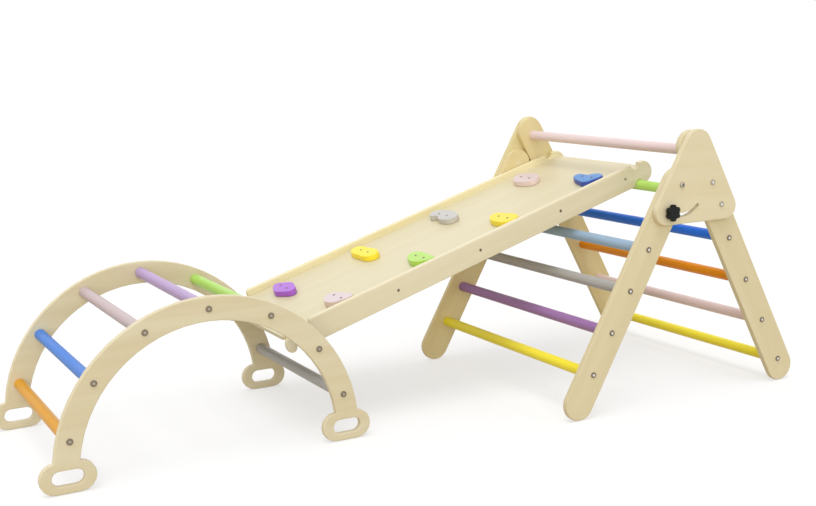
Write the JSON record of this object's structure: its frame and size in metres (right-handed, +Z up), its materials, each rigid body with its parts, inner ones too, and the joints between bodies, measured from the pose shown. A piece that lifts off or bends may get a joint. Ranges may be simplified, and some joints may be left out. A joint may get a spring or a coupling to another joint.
{
  "type": "climbing set",
  "caption": "Wooden toddler climbing set: a folding triangle of two runged ladders, a hooked ramp with climbing holds and a runged arch.",
  "frame": {"origin": "centre of the bounding box on the floor", "axes": "+X from the arch to the triangle, +Y from the near side to the far side, +Z up"},
  "size_m": [1.789, 0.7192, 0.6337],
  "materials": {
    "leg": "clear satin varnish on pale wood",
    "plate": "clear satin varnish on pale wood",
    "arch": "clear satin varnish on pale wood",
    "rail": "clear satin varnish on pale wood",
    "panel": "clear satin varnish on pale plywood",
    "yellow": "satin paint on wood",
    "pink": "satin paint on wood",
    "orange": "satin paint on wood",
    "blue": "satin paint on wood",
    "green": "satin paint on wood",
    "purple": "satin paint on wood",
    "grey": "satin paint on wood",
    "light_blue": "satin paint on wood",
    "sky": "satin paint on wood",
    "pale_pink": "satin paint on wood",
    "lilac": "satin paint on wood",
    "purple_hold": "satin paint on wood",
    "yellow_hold": "satin paint on wood",
    "grey_hold": "satin paint on wood",
    "pink_hold": "satin paint on wood",
    "green_hold": "satin paint on wood",
    "blue_hold": "satin paint on wood",
    "steel": "plain steel",
    "knob": "black moulded plastic"
  },
  "bodies": {
    "triangle": {"leg_b_near": "leg", "leg_b_far": "leg", "apex_plate_near": "plate", "apex_plate_far": "plate", "pivot_bolt_near": "steel", "pivot_bolt_far": "steel", "rung_b_1": "yellow", "rung_b_2": "pink", "rung_b_3": "orange", "rung_b_4": "blue", "rung_b_5": "green", "rung_b_6": "pink"},
    "ladder_a": {"leg_a_near": "leg", "leg_a_far": "leg", "rung_a_1": "yellow", "rung_a_2": "purple", "rung_a_3": "grey", "rung_a_4": "light_blue"},
    "knob_near": {"star_knob_near": "knob"},
    "knob_far": {"star_knob_far": "knob"},
    "ramp": {"ramp_rail_near": "rail", "ramp_rail_far": "rail", "ramp_panel": "panel", "hold_far_1": "purple_hold", "hold_far_2": "yellow_hold", "hold_far_3": "grey_hold", "hold_far_4": "pink_hold", "hold_near_1": "pink_hold", "hold_near_2": "green_hold", "hold_near_3": "yellow_hold", "hold_near_4": "blue_hold"},
    "arch": {"arch_side_near": "arch", "arch_side_far": "arch", "arch_rung_1": "orange", "arch_rung_2": "sky", "arch_rung_3": "pale_pink", "arch_rung_4": "lilac", "arch_rung_5": "green", "arch_rung_6": "sky", "arch_rung_7": "grey"}
  },
  "joints": [
    {"name": "ladder_fold", "type": "hinge", "parent": "triangle", "child": "ladder_a", "pos_m": [0.51567, 0, 0.51015], "axis": [0, -1, 0], "range_deg": [0, 58]},
    {"name": "knob_turn_near", "type": "hinge", "parent": "ladder_a", "child": "knob_near", "pos_m": [0.48173, -0.3423, 0.45065], "axis": [0, -1, 0], "continuous": true},
    {"name": "knob_turn_far", "type": "hinge", "parent": "ladder_a", "child": "knob_far", "pos_m": [0.48173, 0.3423, 0.45065], "axis": [0, 1, 0], "continuous": true},
    {"name": "ramp_swing", "type": "hinge", "parent": "triangle", "child": "ramp", "pos_m": [0.61977, 0.1185, 0.47818], "axis": [0, 1, 0], "range_deg": [0, 12]},
    {"name": "arch_slide", "type": "slide", "parent": "triangle", "child": "arch", "axis": [0, 1, 0], "range_m": [-0.001, 0.07]}
  ]
}
